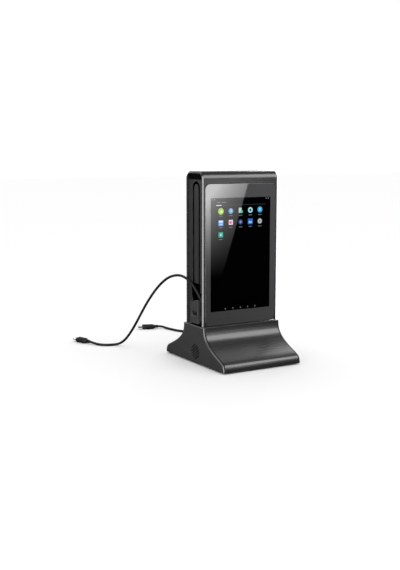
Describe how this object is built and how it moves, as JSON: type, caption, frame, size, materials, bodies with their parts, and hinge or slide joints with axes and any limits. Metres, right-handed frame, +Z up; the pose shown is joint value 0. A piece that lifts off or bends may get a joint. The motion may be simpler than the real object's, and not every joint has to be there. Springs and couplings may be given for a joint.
{
  "type": "phone charging kiosk",
  "caption": "Double-sided tabletop charging tower with a touch display on each face, side lead storage and ports on a flared base.",
  "frame": {"origin": "middle of the underside, on the surface that the kiosk stands on", "axes": "+Z up the tower, the front display faces -Y, +X to the right of a person who looks at the front display"},
  "size_m": [0.2102, 0.3299, 0.257],
  "materials": {
    "charcoal_plastic": "satin charcoal moulding with a faint fine texture",
    "black_plastic": "matt black",
    "gloss_black": "polished black",
    "printed_glass": "polished cover glass, back-printed dark grey round a lit display",
    "rubber": "matt black rubber",
    "steel": "plated steel",
    "brass": "turned brass",
    "circuit_board": "green solder mask",
    "cell_wrap": "silver-grey foil pouch",
    "flex_film": "amber polyimide film",
    "contact_black": "matt black moulding"
  },
  "bodies": {
    "kiosk": {"ballast_weight": "steel", "base_cap_left": "charcoal_plastic", "base_cap_right": "charcoal_plastic", "base_cover_front": "charcoal_plastic", "base_cover_rear": "charcoal_plastic", "base_plate": "black_plastic", "base_screw_1": "steel", "base_screw_2": "steel", "base_screw_3": "steel", "base_screw_4": "steel", "battery_cell_left": "cell_wrap", "battery_cell_right": "cell_wrap", "battery_frame": "black_plastic", "board_spacer_1": "brass", "board_spacer_2": "brass", "board_spacer_3": "brass", "board_spacer_4": "brass", "bond_tape_front": "black_plastic", "bond_tape_rear": "black_plastic", "cable_gland_left": "rubber", "cable_gland_right": "rubber", "cable_left": "rubber", "cable_right": "rubber", "charge_board": "circuit_board", "charge_inlet": "steel", "chassis_plate": "steel", "display_flex_front": "flex_film", "display_flex_rear": "flex_film", "display_front": "gloss_black", "display_rear": "gloss_black", "glass_front": "printed_glass", "glass_rear": "printed_glass", "key_board": "circuit_board", "main_board": "circuit_board", "plug_body_left": "rubber", "plug_body_right": "rubber", "plug_tip_left": "steel", "plug_tip_right": "steel", "port_block_left": "charcoal_plastic", "port_block_right": "charcoal_plastic", "rubber_foot_1": "rubber", "rubber_foot_2": "rubber", "rubber_foot_3": "rubber", "rubber_foot_4": "rubber", "side_cover_left": "charcoal_plastic", "side_cover_right": "charcoal_plastic", "speaker_left": "black_plastic", "speaker_right": "black_plastic", "top_insert_left": "gloss_black", "top_insert_right": "gloss_black", "tower_shell": "charcoal_plastic", "usb_socket_left": "steel", "usb_socket_right": "steel", "usb_tongue_left": "contact_black", "usb_tongue_right": "contact_black", "wifi_antenna": "circuit_board"},
    "power_key": {"power_button": "black_plastic"},
    "volume_up_key": {"volume_up_button": "black_plastic"},
    "volume_down_key": {"volume_down_button": "black_plastic"}
  },
  "joints": [
    {"name": "power_press", "type": "slide", "parent": "kiosk", "child": "power_key", "axis": [-1, 0, 0], "range_m": [0, 0.0005], "stiffness_N_per_m": 600},
    {"name": "volume_up_press", "type": "slide", "parent": "kiosk", "child": "volume_up_key", "axis": [-1, 0, 0], "range_m": [0, 0.0005], "stiffness_N_per_m": 600},
    {"name": "volume_down_press", "type": "slide", "parent": "kiosk", "child": "volume_down_key", "axis": [-1, 0, 0], "range_m": [0, 0.0005], "stiffness_N_per_m": 600}
  ]
}
